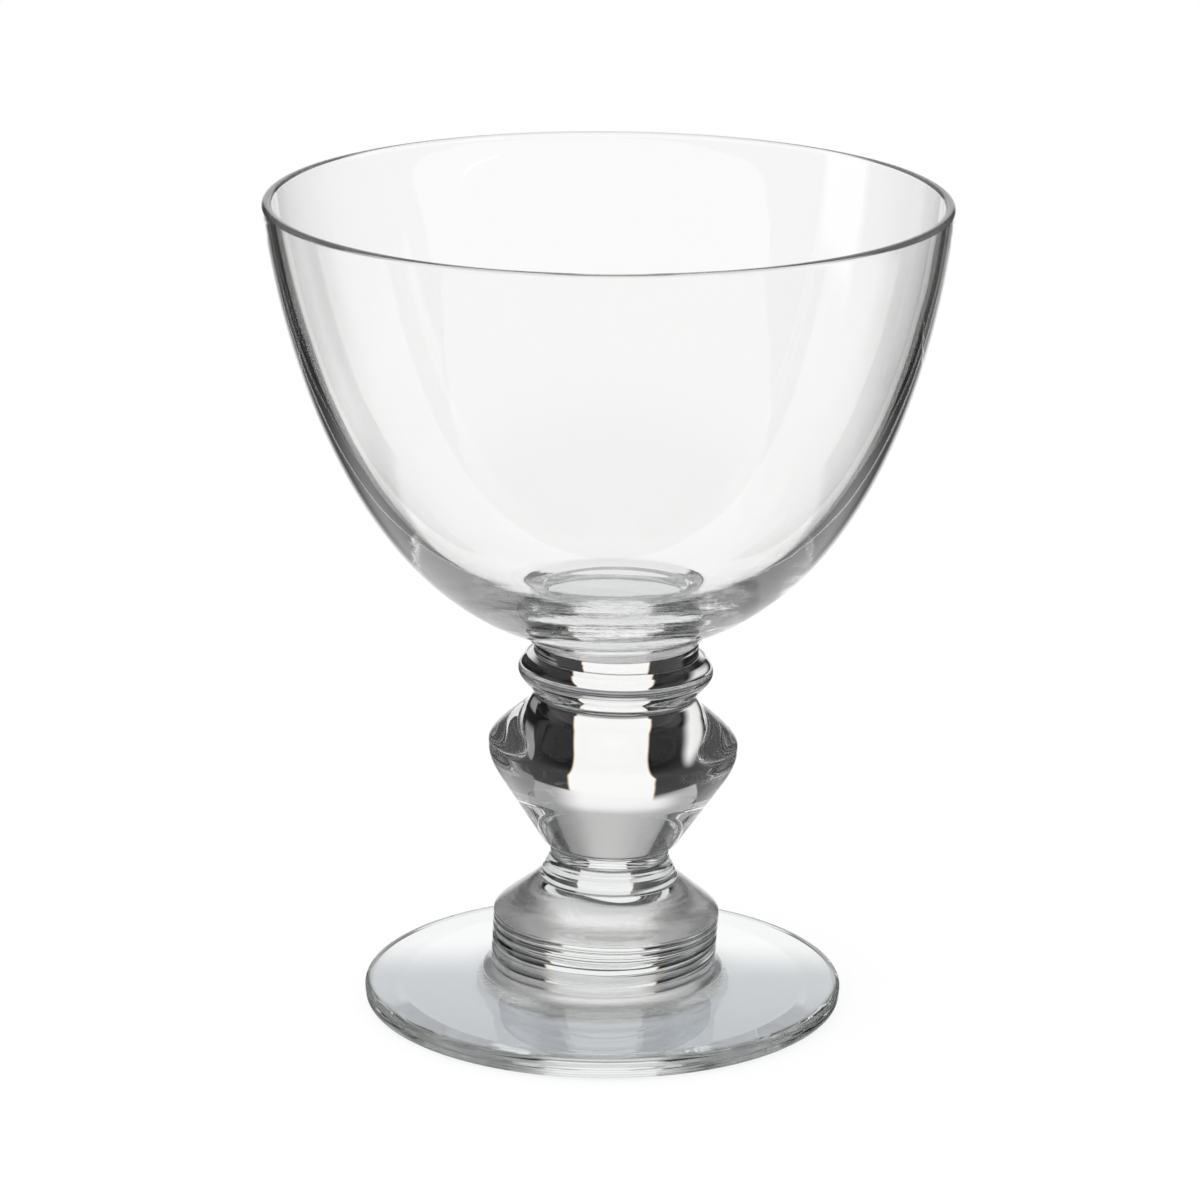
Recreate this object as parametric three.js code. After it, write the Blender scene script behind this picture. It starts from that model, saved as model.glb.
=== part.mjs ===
// A hand-made sundae glass: a wide blown bowl on a solid stem of hot-joined pieces, over a round foot.
// Millimetres, +Z up. The origin lies on the table, under the middle of the foot and of the rim.
import * as THREE from "three";

// Foot: a shallow cone of clear glass, hollowed a little underneath so that it stands on a flat ring
const FOOT_RADIUS = 37.5;
const FOOT_EDGE = 2.9;
const FOOT_EDGE_ROUND = 1.3;
const FOOT_RISE = 1.9;
const FOOT_HOLLOW = 1.2;
const RESTING_RING_INSET = 1.6;
const RESTING_RING_WIDTH = 4.5;

// Base drum: a wall with the grooves of the shaping tool, a plain band, and a sloping shoulder
const DRUM_RADIUS = 17.8;
const DRUM_GROOVES = 5;
const DRUM_GROOVE_PITCH = 1.35;
const DRUM_GROOVE_DEPTH = 0.16;
const DRUM_BAND = 2.5;
const DRUM_SHOULDER = 5.95;
const DRUM_SHOULDER_ROUND = 1.5;

// Lower neck: two soft steps, then a taper to the knop
const LOWER_NECK_RADIUS = 10.95;
const LOWER_NECK_STEP = 0.7;
const LOWER_NECK_STEP_HEIGHT = 1.5;
const LOWER_NECK_TAPER = 0.85;
const LOWER_NECK_TAPER_HEIGHT = 1.5;
const LOWER_NECK_ROUND = 0.7;

// Knop: a solid double cone, widest at its belt
const KNOP_RADIUS = 19.45;
const KNOP_HEEL = 1.1;
const KNOP_HEEL_HEIGHT = 1.5;
const KNOP_LOWER_CONE = 13.6;
const KNOP_BELT = 3.1;
const KNOP_UPPER_CONE = 5.3;
const KNOP_BROW = 0.85;
const KNOP_BROW_HEIGHT = 1.4;
const KNOP_ROUND = 1.55;

// Collar neck: the thin disc of glass between the knop and the ring collar
const COLLAR_NECK_RADIUS = 12.75;
const COLLAR_NECK_HEIGHT = 1.4;

// Ring collar: a rounded ring with a bevel below and a slope above
const COLLAR_RADIUS = 15.2;
const COLLAR_BEVEL = 2.1;
const COLLAR_EDGE = 1.9;
const COLLAR_SLOPE = 1.8;
const COLLAR_ROUND = 0.9;

// Bowl post: the short cylinder that carries the bowl
const POST_RADIUS = 12.85;
const POST_HEIGHT = 2;

// Bowl: a blown cup, thick at its floor and thin at its fire-polished rim
const RIM_RADIUS = 52.5;
const RIM_WALL = 1.8;
const BOWL_HEIGHT = 69.7;
const BOWL_HEEL = 1.9;
const BOWL_HEEL_HEIGHT = 2.4;
const BOWL_CHEEK_RADIUS = 48.4;
const BOWL_CHEEK_HEIGHT = 17.2;
const BOWL_CHEEK_WALL = 2.7;
const BOWL_CHEEK_DROP = 5.2;
const BOWL_FLOOR = 6.6;
const BOWL_FLOOR_RADIUS = 9;

// The glass was set by hand: the stem wanders toward +X, and the bowl comes back over the foot at its rim
const DRUM_SHIFT = 0.85;
const STEM_SHIFT = 1.8;
const BOWL_SHIFT = 1.15;
const SEAT_MARGIN = 0.2;

// Smoothness
const ROUND_SEGMENTS = 56;
const CORNER_STEPS = 3;
const HOLLOW_STEPS = 4;
const BOWL_STEPS = 16;
const LIP_STEPS = 6;

// Radii and heights of the joints, from the table up
const LOWER_NECK_TOP_RADIUS = LOWER_NECK_RADIUS - LOWER_NECK_STEP - LOWER_NECK_TAPER;
const DRUM_BASE = FOOT_EDGE + FOOT_RISE;
const DRUM_HEIGHT = DRUM_GROOVES * DRUM_GROOVE_PITCH + DRUM_BAND + DRUM_SHOULDER;
const LOWER_NECK_BASE = DRUM_BASE + DRUM_HEIGHT;
const KNOP_BASE = LOWER_NECK_BASE + 2 * LOWER_NECK_STEP_HEIGHT + LOWER_NECK_TAPER_HEIGHT;
const KNOP_BELT_BASE = KNOP_BASE + KNOP_HEEL_HEIGHT + KNOP_LOWER_CONE;
const KNOP_BROW_BASE = KNOP_BELT_BASE + KNOP_BELT + KNOP_UPPER_CONE;
const COLLAR_NECK_BASE = KNOP_BROW_BASE + KNOP_BROW_HEIGHT;
const COLLAR_BASE = COLLAR_NECK_BASE + COLLAR_NECK_HEIGHT;
const POST_BASE = COLLAR_BASE + COLLAR_BEVEL + COLLAR_EDGE + COLLAR_SLOPE;
const BOWL_BASE = POST_BASE + POST_HEIGHT;
const RIM_HEIGHT = BOWL_BASE + BOWL_HEIGHT;

// One corner of a half section: its radius, its height, and how far from it the rounding starts.
function corner(radius, height, round = 0) {
  return { at: new THREE.Vector2(radius, height), round };
}

// The point at a distance from one point toward another, at most half way.
function stepToward(from, to, distance) {
  const reach = Math.min(distance, from.distanceTo(to) / 2);
  return to.clone().sub(from).setLength(reach).add(from);
}

// The points of a half section from its corners, with each rounded corner drawn as a curve.
function outline(corners) {
  return corners.flatMap(({ at, round }, i) => {
    if (round === 0) return [at];
    const start = stepToward(at, corners[i - 1].at, round);
    const end = stepToward(at, corners[i + 1].at, round);
    return new THREE.QuadraticBezierCurve(start, at, end).getPoints(CORNER_STEPS);
  });
}

// A solid of revolution about Z. The half section runs upward on the outside, from the axis to the axis.
function turned(points) {
  return new THREE.LatheGeometry(points, ROUND_SEGMENTS).rotateX(Math.PI / 2);
}

// Moves each point of a solid along X and Z, by a rule of its place.
function settled(geometry, rule) {
  const position = geometry.getAttribute("position");
  for (let i = 0; i < position.count; i++) {
    const [x, z] = rule(position.getX(i), position.getZ(i));
    position.setX(i, x);
    position.setZ(i, z);
  }
  geometry.computeVertexNormals();
  return geometry;
}

// How much the stem above the drum moves along X for each millimetre up.
const STEM_LEAN = (STEM_SHIFT - DRUM_SHIFT) / (BOWL_BASE - LOWER_NECK_BASE);

// The stem leans from the foot's centre. Its joints lie square to it, but its end faces stay level.
function leaning(x, z) {
  const aboveDrum = z - LOWER_NECK_BASE;
  const along = aboveDrum < 0 ? (DRUM_SHIFT * aboveDrum) / DRUM_HEIGHT : STEM_LEAN * aboveDrum;
  const square = Math.min(1, (z - DRUM_BASE) / DRUM_HEIGHT, (BOWL_BASE - z) / POST_HEIGHT);
  return [x + DRUM_SHIFT + along, z - STEM_LEAN * square * x];
}

// The bowl stands off the foot's centre at its seat, and comes back over it at the rim.
function straightened(x, z) {
  return [x + (BOWL_SHIFT * (RIM_HEIGHT - z)) / BOWL_HEIGHT, z];
}

// One named piece of clear glass with its own cast of colour.
function glassPiece(name, geometry, color) {
  const material = new THREE.MeshStandardMaterial({
    color,
    roughness: 0.04,
    metalness: 0,
    transparent: true,
    opacity: 0.45,
  });
  const mesh = new THREE.Mesh(geometry, material);
  mesh.name = name;
  return mesh;
}

function makeFoot() {
  const ringOuter = FOOT_RADIUS - RESTING_RING_INSET;
  const ringInner = ringOuter - RESTING_RING_WIDTH;
  const hollow = new THREE.QuadraticBezierCurve(
    new THREE.Vector2(0, FOOT_HOLLOW),
    new THREE.Vector2(ringInner / 2, FOOT_HOLLOW),
    new THREE.Vector2(ringInner, 0),
  );
  const outside = outline([
    corner(ringOuter, 0),
    corner(FOOT_RADIUS, 0, FOOT_EDGE_ROUND),
    corner(FOOT_RADIUS, FOOT_EDGE, FOOT_EDGE_ROUND),
    corner(DRUM_RADIUS + SEAT_MARGIN, DRUM_BASE),
    corner(0, DRUM_BASE),
  ]);
  return glassPiece("foot", turned([...hollow.getPoints(HOLLOW_STEPS), ...outside]), 0xcfd6d6);
}

function makeBaseDrum() {
  const bandBase = DRUM_BASE + DRUM_GROOVES * DRUM_GROOVE_PITCH;
  const corners = [corner(0, DRUM_BASE)];
  for (let groove = 0; groove < DRUM_GROOVES; groove++) {
    const low = DRUM_BASE + groove * DRUM_GROOVE_PITCH;
    corners.push(corner(DRUM_RADIUS, low));
    corners.push(corner(DRUM_RADIUS - DRUM_GROOVE_DEPTH, low + DRUM_GROOVE_PITCH / 2));
  }
  corners.push(corner(DRUM_RADIUS, bandBase));
  corners.push(corner(DRUM_RADIUS, bandBase + DRUM_BAND, DRUM_SHOULDER_ROUND));
  corners.push(corner(LOWER_NECK_RADIUS, LOWER_NECK_BASE));
  corners.push(corner(0, LOWER_NECK_BASE));
  return glassPiece("base_drum", settled(turned(outline(corners)), leaning), 0xd8dcda);
}

function makeLowerNeck() {
  const stepRadius = LOWER_NECK_RADIUS - LOWER_NECK_STEP;
  const step = LOWER_NECK_BASE + LOWER_NECK_STEP_HEIGHT;
  const points = outline([
    corner(0, LOWER_NECK_BASE),
    corner(LOWER_NECK_RADIUS, LOWER_NECK_BASE),
    corner(LOWER_NECK_RADIUS, step, LOWER_NECK_ROUND),
    corner(stepRadius, step, LOWER_NECK_ROUND),
    corner(stepRadius, step + LOWER_NECK_STEP_HEIGHT, LOWER_NECK_ROUND),
    corner(LOWER_NECK_TOP_RADIUS, KNOP_BASE),
    corner(0, KNOP_BASE),
  ]);
  return glassPiece("lower_neck", settled(turned(points), leaning), 0xd2d6d6);
}

function makeKnop() {
  const points = outline([
    corner(0, KNOP_BASE),
    corner(LOWER_NECK_TOP_RADIUS, KNOP_BASE),
    corner(LOWER_NECK_TOP_RADIUS + KNOP_HEEL, KNOP_BASE + KNOP_HEEL_HEIGHT, KNOP_ROUND),
    corner(KNOP_RADIUS, KNOP_BELT_BASE, KNOP_ROUND),
    corner(KNOP_RADIUS, KNOP_BELT_BASE + KNOP_BELT, KNOP_ROUND),
    corner(COLLAR_NECK_RADIUS + KNOP_BROW, KNOP_BROW_BASE, KNOP_ROUND),
    corner(COLLAR_NECK_RADIUS, COLLAR_NECK_BASE),
    corner(0, COLLAR_NECK_BASE),
  ]);
  return glassPiece("knop", settled(turned(points), leaning), 0xdde1df);
}

function makeCollarNeck() {
  const points = outline([
    corner(0, COLLAR_NECK_BASE),
    corner(COLLAR_NECK_RADIUS, COLLAR_NECK_BASE),
    corner(COLLAR_NECK_RADIUS, COLLAR_BASE),
    corner(0, COLLAR_BASE),
  ]);
  return glassPiece("collar_neck", settled(turned(points), leaning), 0xd2d6d6);
}

function makeRingCollar() {
  const edgeBase = COLLAR_BASE + COLLAR_BEVEL;
  const points = outline([
    corner(0, COLLAR_BASE),
    corner(COLLAR_NECK_RADIUS, COLLAR_BASE),
    corner(COLLAR_RADIUS, edgeBase, COLLAR_ROUND),
    corner(COLLAR_RADIUS, edgeBase + COLLAR_EDGE, COLLAR_ROUND),
    corner(POST_RADIUS, POST_BASE),
    corner(0, POST_BASE),
  ]);
  return glassPiece("ring_collar", settled(turned(points), leaning), 0xd8dcda);
}

function makeBowlPost() {
  const points = outline([
    corner(0, POST_BASE),
    corner(POST_RADIUS, POST_BASE),
    corner(POST_RADIUS, BOWL_BASE),
    corner(0, BOWL_BASE),
  ]);
  return glassPiece("bowl_post", settled(turned(points), leaning), 0xd2d6d6);
}

function makeBowl() {
  const lip = RIM_WALL / 2;
  const lipHeight = RIM_HEIGHT - lip;
  const seat = POST_RADIUS + Math.abs(STEM_SHIFT - BOWL_SHIFT) + SEAT_MARGIN;
  const cheek = new THREE.Vector2(BOWL_CHEEK_RADIUS, BOWL_BASE + BOWL_CHEEK_HEIGHT);
  const innerCheek = new THREE.Vector2(cheek.x - BOWL_CHEEK_WALL, cheek.y - BOWL_CHEEK_DROP);
  const outerRim = new THREE.Vector2(RIM_RADIUS, lipHeight);
  const innerRim = new THREE.Vector2(RIM_RADIUS - RIM_WALL, lipHeight);
  const heel = new THREE.Vector2(seat + BOWL_HEEL, BOWL_BASE + BOWL_HEEL_HEIGHT);
  const floor = new THREE.Vector2(BOWL_FLOOR_RADIUS, BOWL_BASE + BOWL_FLOOR);
  const outside = new THREE.CubicBezierCurve(heel, cheek, outerRim, outerRim);
  const fireRound = new THREE.EllipseCurve(RIM_RADIUS - lip, lipHeight, lip, lip, 0, Math.PI);
  const inside = new THREE.CubicBezierCurve(innerRim, innerRim, innerCheek, floor);
  const points = [
    new THREE.Vector2(0, BOWL_BASE),
    new THREE.Vector2(seat, BOWL_BASE),
    ...outside.getPoints(BOWL_STEPS),
    ...fireRound.getPoints(LIP_STEPS).slice(1, -1),
    ...inside.getPoints(BOWL_STEPS),
    new THREE.Vector2(0, floor.y),
  ];
  return glassPiece("bowl", settled(turned(points), straightened), 0xeef2f0);
}

const sundaeGlass = new THREE.Group();
sundaeGlass.name = "sundae_glass";
sundaeGlass.add(makeFoot());
sundaeGlass.add(makeBaseDrum());
sundaeGlass.add(makeLowerNeck());
sundaeGlass.add(makeKnop());
sundaeGlass.add(makeCollarNeck());
sundaeGlass.add(makeRingCollar());
sundaeGlass.add(makeBowlPost());
sundaeGlass.add(makeBowl());

export default sundaeGlass;
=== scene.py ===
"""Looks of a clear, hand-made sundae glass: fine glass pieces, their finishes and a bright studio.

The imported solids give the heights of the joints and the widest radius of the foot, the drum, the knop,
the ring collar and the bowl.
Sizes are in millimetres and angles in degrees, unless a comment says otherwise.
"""

import logging
import math
from abc import ABC, abstractmethod
from dataclasses import dataclass, field
from enum import Enum

import bpy
from mathutils import Matrix, Vector


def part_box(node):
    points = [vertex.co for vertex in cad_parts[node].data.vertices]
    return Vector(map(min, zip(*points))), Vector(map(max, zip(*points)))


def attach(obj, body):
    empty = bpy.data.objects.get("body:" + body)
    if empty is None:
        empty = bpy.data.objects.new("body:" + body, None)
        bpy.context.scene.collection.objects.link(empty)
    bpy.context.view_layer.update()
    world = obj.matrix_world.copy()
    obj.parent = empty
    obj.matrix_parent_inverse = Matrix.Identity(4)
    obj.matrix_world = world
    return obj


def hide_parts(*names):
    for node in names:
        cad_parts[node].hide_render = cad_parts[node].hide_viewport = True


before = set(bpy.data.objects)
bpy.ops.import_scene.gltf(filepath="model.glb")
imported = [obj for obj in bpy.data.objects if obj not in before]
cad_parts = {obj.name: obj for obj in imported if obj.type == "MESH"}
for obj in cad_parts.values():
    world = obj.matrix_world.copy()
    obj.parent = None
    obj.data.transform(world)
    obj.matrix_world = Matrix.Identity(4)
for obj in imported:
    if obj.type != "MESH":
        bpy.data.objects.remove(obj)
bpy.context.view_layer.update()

MM = 0.001
LONGEST_PATH = 192
SAME_POINT = 1e-6
LEAST_LEVEL = 1e-4
CLEAR = (1.0, 1.0, 1.0)
LOG = logging.getLogger("sundae_glass")

Colour = tuple[float, float, float]
Point = tuple[float, float]


class Slot(Enum):
    """Which finish each piece takes."""

    FOOT = "foot_glass"
    STEM = "stem_glass"
    BOWL = "bowl_glass"


class Value:
    """One socket's value in a node tree. Arithmetic on it adds Math nodes."""

    def __init__(self, tree: "Tree", socket: bpy.types.NodeSocket) -> None:
        """Keep the socket and the tree that it belongs to."""
        self.tree = tree
        self.socket = socket

    def __add__(self, other: "Value | float") -> "Value":
        """Sum of the two."""
        return self.tree.math("ADD", self, other)

    def __radd__(self, other: float) -> "Value":
        """Sum with a plain number in front."""
        return self.tree.math("ADD", other, self)

    def __sub__(self, other: "Value | float") -> "Value":
        """Difference of the two."""
        return self.tree.math("SUBTRACT", self, other)

    def __rsub__(self, other: float) -> "Value":
        """Difference with a plain number in front."""
        return self.tree.math("SUBTRACT", other, self)

    def __mul__(self, other: "Value | float") -> "Value":
        """Product of the two."""
        return self.tree.math("MULTIPLY", self, other)

    def __rmul__(self, other: float) -> "Value":
        """Product with a plain number in front."""
        return self.tree.math("MULTIPLY", other, self)

    def __truediv__(self, other: "Value | float") -> "Value":
        """Quotient of the two."""
        return self.tree.math("DIVIDE", self, other)

    def __rtruediv__(self, other: float) -> "Value":
        """Quotient with a plain number in front."""
        return self.tree.math("DIVIDE", other, self)

    def most(self, other: "Value | float") -> "Value":
        """The larger of the two."""
        return self.tree.math("MAXIMUM", self, other)

    def ramp(self, low: float, high: float) -> "Value":
        """A smooth rise from 0 at low to 1 at high."""
        inputs = {"Value": self, "From Min": low, "From Max": high, "To Min": 0.0, "To Max": 1.0}
        return self.tree.value("ShaderNodeMapRange", {"interpolation_type": "SMOOTHSTEP"}, inputs, "Result")


class Tree:
    """A node tree that is written one node at a time, from an empty start."""

    def __init__(self, nodes: bpy.types.NodeTree) -> None:
        """Keep the tree that the nodes go into, without those that it came with."""
        self.nodes = nodes
        nodes.nodes.clear()

    def node(self, kind: str, settings: dict | None = None, inputs: dict | None = None) -> bpy.types.Node:
        """Add one node.

        Args:
            kind: Blender's name of the node's type.
            settings: the node's own properties, which are set first.
            inputs: values or links by the socket's name, or by its place where names repeat.

        Returns:
            The new node.
        """
        made = self.nodes.nodes.new(kind)
        for name, setting in (settings or {}).items():
            setattr(made, name, setting)
        for name, given in (inputs or {}).items():
            if isinstance(name, int):
                socket = made.inputs[name]
            else:
                socket = next(s for s in made.inputs if s.enabled and s.name == name)
            if isinstance(given, Value):
                self.nodes.links.new(given.socket, socket)
            else:
                socket.default_value = given
        return made

    def value(
        self, kind: str, settings: dict | None = None, inputs: dict | None = None, output: str = ""
    ) -> Value:
        """Add one node and take one of its outputs.

        Args:
            kind: Blender's name of the node's type.
            settings: the node's own properties.
            inputs: values or links of its sockets.
            output: the output's name, or nothing for the first that is in use.

        Returns:
            The output, ready for arithmetic.
        """
        made = self.node(kind, settings, inputs)
        socket = next(s for s in made.outputs if s.enabled and output in ("", s.name))
        return Value(self, socket)

    def math(self, operation: str, *terms: Value | float) -> Value:
        """Add a Math node on one, two or three terms."""
        return self.value("ShaderNodeMath", {"operation": operation}, dict(enumerate(terms)))

    def vector(self, x: Value | float, y: Value | float, z: Value | float) -> Value:
        """Join three values into a vector."""
        return self.value("ShaderNodeCombineXYZ", None, {"X": x, "Y": y, "Z": z})

    def split(self, vector: Value) -> tuple[Value, Value, Value]:
        """The three parts of a vector."""
        made = self.node("ShaderNodeSeparateXYZ", None, {"Vector": vector})
        return tuple(Value(self, socket) for socket in made.outputs)

    def blend(self, share: Value, first: Value | Colour, second: Colour) -> Value:
        """Blend two colours.

        Args:
            share: how much of the second colour shows.
            first: a colour, or a value that holds one.
            second: the other colour.

        Returns:
            The blended colour.
        """
        start = first if isinstance(first, Value) else (*first, 1)
        inputs = {"Factor": share, "A": start, "B": (*second, 1)}
        return self.value("ShaderNodeMix", {"data_type": "RGBA"}, inputs)

    def mix(self, share: Value, first: Value, second: Value) -> Value:
        """Mix two shaders by the share of the second."""
        return self.value("ShaderNodeMixShader", None, {"Fac": share, 1: first, 2: second})

    def clear(self, colour: Colour = CLEAR) -> Value:
        """A shader that lets light straight through in a colour."""
        return self.value("ShaderNodeBsdfTransparent", None, {"Color": (*colour, 1)})

    def glow(self, colour: Colour) -> Value:
        """A shader of one plain brightness."""
        return self.value("ShaderNodeEmission", None, {"Color": (*colour, 1), "Strength": 1.0})


def new_object(name: str, data: bpy.types.ID) -> bpy.types.Object:
    """Make an object and put it in the scene.

    Args:
        name: the object's name.
        data: its mesh, lamp or lens.

    Returns:
        The object.
    """
    made = bpy.data.objects.new(name, data)
    bpy.context.scene.collection.objects.link(made)
    return made


@dataclass(frozen=True)
class Lumps:
    """A smooth noise.

    Attributes:
        scale: lumps per metre.
        detail: how many finer layers it has.
        seed: which noise it is.
        stretch: how much faster it changes along each axis.
    """

    scale: Value | float
    detail: float
    seed: Value | float
    stretch: Colour = (1, 1, 1)

    def at(self, tree: Tree, place: Value) -> Value:
        """Read the noise.

        Args:
            tree: the tree that reads it.
            place: where it is read.

        Returns:
            The noise about zero, from -0.5 to 0.5.
        """
        by_axis = tree.value("ShaderNodeVectorMath", {"operation": "MULTIPLY"}, {0: place, 1: self.stretch})
        inputs = {"Vector": by_axis, "W": self.seed, "Scale": self.scale, "Detail": self.detail}
        return tree.value("ShaderNodeTexNoise", {"noise_dimensions": "4D"}, inputs, "Fac") - 0.5


@dataclass(frozen=True)
class FusedJoint:
    """The inside of a hot joint: two pieces run into one there, so nothing shows."""

    name: str = "fused joint"

    def material(self) -> bpy.types.Material:
        """Make the material."""
        made = bpy.data.materials.new(self.name)
        made.use_nodes = True
        tree = Tree(made.node_tree)
        tree.node("ShaderNodeOutputMaterial", None, {"Surface": tree.clear()})
        return made


@dataclass(frozen=True)
class GlassFinish:
    """Clear glass with the faint marks of hot work, and painted shade in its creases.

    Attributes:
        name: the material's name.
        tint: colour of clear glass, by one crossing.
        cast: colour where the melt was a little thicker.
        haze: roughness of the dullest patches.
        striae: height of the drawn lines.
        drawn: the lines that drawing the hot glass leaves round it.
        drawn_low: height below which the lines are at their deepest.
        drawn_high: height above which there are none.
        patches: where the melt was thicker and where the surface is duller.
        cast_range: levels of the patches between which the cast sets in.
        haze_range: levels of the patches between which the haze sets in.
        shade: light that the glass lets through to what lies behind it.
        index: how strongly the glass bends light.
        painted_shade_colour: painted shade, the dark colour put into the glass along its creases.
        painted_shade_range: depths in a crease between which that painted shade sets in.
        edge: radius at which the edge starts to show the glass's own colour.
        edge_soft: how far that change reaches on either side.
        edge_cast: that colour.
        pontil: radius of the ground mark underneath, where the foot was held for working.
        pontil_soft: width of the mark's soft edge.
        pontil_range: heights between which the mark ends.
        ground: roughness of the mark.
        grain: height of its grain.
        grinding: the grain itself.
    """

    name: str
    tint: Colour
    cast: Colour
    haze: float
    striae: float
    drawn: Lumps
    drawn_low: float = 200.0
    drawn_high: float = 201.0
    patches: Lumps = Lumps(45, 2, 1.7)
    cast_range: Point = (0.35, 0.75)
    haze_range: Point = (0.4, 0.8)
    shade: Colour = (0.9, 0.92, 0.92)
    index: float = 1.52
    # Painted shade: the creases are darkened in the glass's colour.
    painted_shade_colour: Colour = (0.12, 0.12, 0.12)
    painted_shade_range: Point = (0.3, 0.9)
    edge: float = 200.0
    edge_soft: float = 0.8
    edge_cast: Colour = (0.84, 0.87, 0.855)
    pontil: float = 0.0
    pontil_soft: float = 2.0
    pontil_range: Point = (1.5, 2.0)
    ground: float = 0.2
    grain: float = 0.05
    grinding: Lumps = Lumps(400, 3, 2.6, (1, 2.5, 1))

    def material(self) -> bpy.types.Material:
        """Make the material."""
        made = bpy.data.materials.new(self.name)
        made.use_nodes = True
        tree = Tree(made.node_tree)
        place = tree.value("ShaderNodeTexCoord", None, None, "Object")
        patches = self.patches.at(tree, place) + 0.5
        colour = tree.blend(patches.ramp(*self.cast_range), self.tint, self.cast)
        # Painted shade: the glass's colour darkens in the creases, where shade falls.
        painted_crease_shade = tree.value("ShaderNodeAttribute", {"attribute_name": "painted_crease_shade"}, None, "Fac")
        colour = tree.blend(painted_crease_shade.ramp(*self.painted_shade_range), colour, self.painted_shade_colour)
        x, y, height = tree.split(place)
        plain = height.ramp(self.drawn_low * MM, self.drawn_high * MM)
        relief = self.drawn.at(tree, place) * (1 - plain) * self.striae
        rough = patches.ramp(*self.haze_range) * self.haze
        if self.pontil:
            away = tree.math("SQRT", x * x + y * y)
            mark = self.pontil_mark(away, height)
            rough = rough + mark * self.ground
            relief = relief + mark * self.grinding.at(tree, place) * self.grain
            at_edge = away.ramp((self.edge - self.edge_soft) * MM, (self.edge + self.edge_soft) * MM)
            colour = tree.blend(at_edge, colour, self.edge_cast)
        bump = tree.value("ShaderNodeBump", None, {"Height": relief, "Strength": 1.0, "Distance": MM})
        glass = tree.value(
            "ShaderNodeBsdfPrincipled",
            None,
            {
                "Base Color": colour,
                "Roughness": rough,
                "IOR": self.index,
                "Transmission Weight": 1.0,
                "Normal": bump,
            },
        )
        shadow = tree.value("ShaderNodeLightPath", None, None, "Is Shadow Ray")
        both = tree.mix(shadow, glass, tree.clear(self.shade))
        tree.node("ShaderNodeOutputMaterial", None, {"Surface": both})
        return made

    def pontil_mark(self, away: Value, height: Value) -> Value:
        """Where the ground mark lies.

        Args:
            away: distance from the middle of the foot.
            height: height above the table.

        Returns:
            1 on the mark and 0 off it.
        """
        low, high = self.pontil_range
        inside = 1 - away.ramp((self.pontil - self.pontil_soft) * MM, self.pontil * MM)
        return inside * (1 - height.ramp(low * MM, high * MM))


ROUND_AND_ROUND = (0.045, 0.045, 1)
FOOT_GLASS = GlassFinish(
    name="foot glass",
    tint=(0.95, 0.965, 0.965),
    cast=(0.92, 0.94, 0.94),
    haze=0.015,
    striae=0.004,
    drawn=Lumps(300, 3, 4.2, ROUND_AND_ROUND),
    edge=36.6,
    pontil=20,
)
STEM_GLASS = GlassFinish(
    name="stem glass",
    tint=(0.995, 0.998, 0.988),
    cast=(0.98, 0.986, 0.97),
    haze=0.006,
    striae=0.001,
    drawn=Lumps(700, 3, 4.2, ROUND_AND_ROUND),
)
BOWL_GLASS = GlassFinish(
    name="bowl glass",
    tint=(0.999, 0.999, 0.997),
    cast=(0.993, 0.996, 0.991),
    haze=0.006,
    striae=0.03,
    drawn=Lumps(2000, 3, 4.2, ROUND_AND_ROUND),
    drawn_low=64,
    drawn_high=78,
)


@dataclass(frozen=True)
class Joint:
    """A flat joint, where two hot pieces ran into one.

    Attributes:
        height: how far it lies above the table.
        radius: radius of its disc.
    """

    height: float
    radius: float

    @classmethod
    def between(cls, lower: str, upper: str, radius: float) -> "Joint":
        """The joint of two neighbours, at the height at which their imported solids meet."""
        return cls((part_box(lower)[1].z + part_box(upper)[0].z) / 2 / MM, radius)

    @property
    def edge(self) -> Point:
        """Radius and height of the disc's edge."""
        return (self.radius, self.height)


def widest(node: str) -> float:
    """A node's largest radius, in millimetres."""
    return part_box(node)[1].y / MM


FOOT_TO_DRUM = Joint.between("foot", "base_drum", 18.9)
DRUM_TO_NECK = Joint.between("base_drum", "lower_neck", 10.95)
NECK_TO_KNOP = Joint.between("lower_neck", "knop", 9.38)
KNOP_TO_DISC = Joint.between("knop", "collar_neck", 12.75)
DISC_TO_RING = Joint.between("collar_neck", "ring_collar", 13.1)
RING_TO_POST = Joint.between("ring_collar", "bowl_post", 12.85)
POST_TO_BOWL = Joint.between("bowl_post", "bowl", 12.85)
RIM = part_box("bowl")[1].z / MM


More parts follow.
